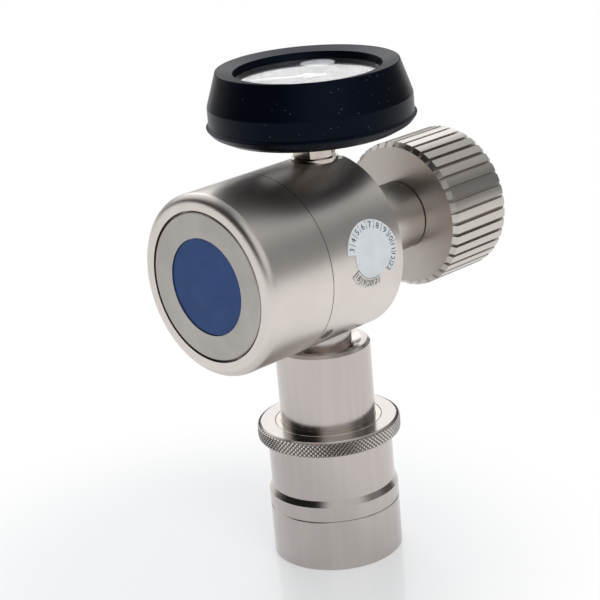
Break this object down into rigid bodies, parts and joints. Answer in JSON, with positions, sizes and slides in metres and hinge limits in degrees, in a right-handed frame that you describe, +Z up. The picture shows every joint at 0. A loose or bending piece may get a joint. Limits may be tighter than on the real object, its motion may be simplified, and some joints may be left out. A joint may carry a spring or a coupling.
{
  "type": "nitrous oxide regulator",
  "caption": "Compact cylinder regulator with a ribbed inlet handwheel, round satin barrel, booted contents gauge above and a quick coupler with a knurled sleeve below.",
  "frame": {"origin": "centre of the coupler's mouth, on the plane that the coupler stands on", "axes": "+Z up the coupler's axis to the gauge, +Y along the barrel's axis from the front disc to the handwheel, +X to the barrel's flank with the sticker"},
  "size_m": [0.0572, 0.0978, 0.1404],
  "materials": {
    "satin_nickel": "satin, fine blasted nickel plate",
    "brushed_cap": "turned and brushed nickel plate",
    "handwheel_nickel": "satin nickel plate",
    "coupler_nickel": "fine turned nickel plate",
    "polished_nickel": "polished nickel plate",
    "blue_enamel": "matt printed enamel",
    "boot_rubber": "matt moulded rubber",
    "gauge_glass": "clear flat window",
    "dial_face": "matt enamel dial",
    "pointer_paint": "matt black paint",
    "sticker_paper": "matt printed film",
    "movement_brass": "bright stamped brass",
    "case_steel": "black enamelled steel",
    "spring_steel": "drawn spring wire and hardened steel",
    "valve_brass": "turned brass",
    "filter_bronze": "sintered bronze",
    "seal_rubber": "moulded nitrile rubber",
    "seal_plastic": "turned seal plastic"
  },
  "bodies": {
    "frame": {"regulator_body": "satin_nickel", "bonnet": "satin_nickel", "front_cap": "brushed_cap", "gas_disc": "blue_enamel", "setting_screw": "spring_steel", "spring_button": "valve_brass", "main_spring": "spring_steel", "clamp_ring": "valve_brass", "diaphragm": "seal_rubber", "valve_seat": "valve_brass", "bonnet_lock_screw": "spring_steel", "inlet_stem": "satin_nickel", "stem_seal": "seal_rubber", "inlet_nipple": "polished_nickel", "inlet_filter": "filter_bronze", "inlet_seal": "seal_plastic", "gauge_washer": "polished_nickel", "gauge_socket": "polished_nickel", "gauge_case": "case_steel", "gauge_boot": "boot_rubber", "gauge_window": "gauge_glass", "window_ring": "case_steel", "gauge_dial": "dial_face", "movement_frame": "movement_brass", "bourdon_tube": "movement_brass", "coupler_neck": "coupler_nickel", "outlet_seal": "seal_plastic", "probe_barrel": "polished_nickel", "check_seat_ring": "valve_brass", "index_collar": "coupler_nickel", "spring_clip": "spring_steel", "sleeve_spring": "spring_steel", "check_spring": "spring_steel", "poppet_spring": "spring_steel", "probe_seal": "seal_rubber", "test_sticker": "sticker_paper"},
    "valve_train": {"diaphragm_plate": "valve_brass", "diaphragm_nut": "valve_brass", "push_pin": "valve_brass", "valve_poppet": "valve_brass", "poppet_seal": "seal_plastic"},
    "handwheel": {"handwheel": "handwheel_nickel"},
    "pointer": {"pointer": "pointer_paint", "pinion": "movement_brass"},
    "sector": {"sector_gear": "movement_brass"},
    "sleeve": {"release_sleeve": "coupler_nickel", "sleeve_bush": "polished_nickel"},
    "check_valve": {"check_valve": "valve_brass", "check_seal": "seal_rubber"},
    "ball_1": {"locking_ball_1": "spring_steel"},
    "ball_2": {"locking_ball_2": "spring_steel"},
    "ball_3": {"locking_ball_3": "spring_steel"},
    "ball_4": {"locking_ball_4": "spring_steel"}
  },
  "joints": [
    {"name": "handwheel_turn", "type": "hinge", "parent": "frame", "child": "handwheel", "pos_m": [0, 0.046, 0.0897], "axis": [0, 1, 0], "continuous": true},
    {"name": "sleeve_slide", "type": "slide", "parent": "frame", "child": "sleeve", "axis": [0, 0, 1], "range_m": [0, 0.004], "stiffness_N_per_m": 1500, "springref_m": -0.002, "deforming": ["sleeve_spring"]},
    {"name": "check_valve_slide", "type": "slide", "parent": "frame", "child": "check_valve", "axis": [0, 0, 1], "range_m": [0, 0.004], "stiffness_N_per_m": 800, "springref_m": -0.002, "deforming": ["check_spring"]},
    {"name": "valve_train_slide", "type": "slide", "parent": "frame", "child": "valve_train", "axis": [0, -1, 0], "range_m": [0, 0.0008], "stiffness_N_per_m": 4000, "springref_m": -0.002, "deforming": ["main_spring", "poppet_spring", "diaphragm"]},
    {"name": "sector_turn", "type": "hinge", "parent": "frame", "child": "sector", "pos_m": [0.0105, 0.003, 0.1329], "axis": [0, 0, 1], "range_deg": [0, 45], "stiffness_Nm_per_rad": 0.0002},
    {"name": "pointer_turn", "type": "hinge", "parent": "frame", "child": "pointer", "pos_m": [0, 0.003, 0.1329], "axis": [0, 0, -1], "range_deg": [0, 270]},
    {"name": "ball_1_slide", "type": "slide", "parent": "frame", "child": "ball_1", "axis": [0.7071, 0.7071, 0], "range_m": [0, 0.0011]},
    {"name": "ball_2_slide", "type": "slide", "parent": "frame", "child": "ball_2", "axis": [-0.7071, 0.7071, 0], "range_m": [0, 0.0011]},
    {"name": "ball_3_slide", "type": "slide", "parent": "frame", "child": "ball_3", "axis": [-0.7071, -0.7071, 0], "range_m": [0, 0.0011]},
    {"name": "ball_4_slide", "type": "slide", "parent": "frame", "child": "ball_4", "axis": [0.7071, -0.7071, 0], "range_m": [0, 0.0011]}
  ],
  "couplings": [
    {"joint": "pointer_turn", "follows": "sector_turn", "ratio": 6},
    {"joint": "ball_1_slide", "follows": "sleeve_slide", "ratio": 0.275},
    {"joint": "ball_2_slide", "follows": "sleeve_slide", "ratio": 0.275},
    {"joint": "ball_3_slide", "follows": "sleeve_slide", "ratio": 0.275},
    {"joint": "ball_4_slide", "follows": "sleeve_slide", "ratio": 0.275}
  ]
}
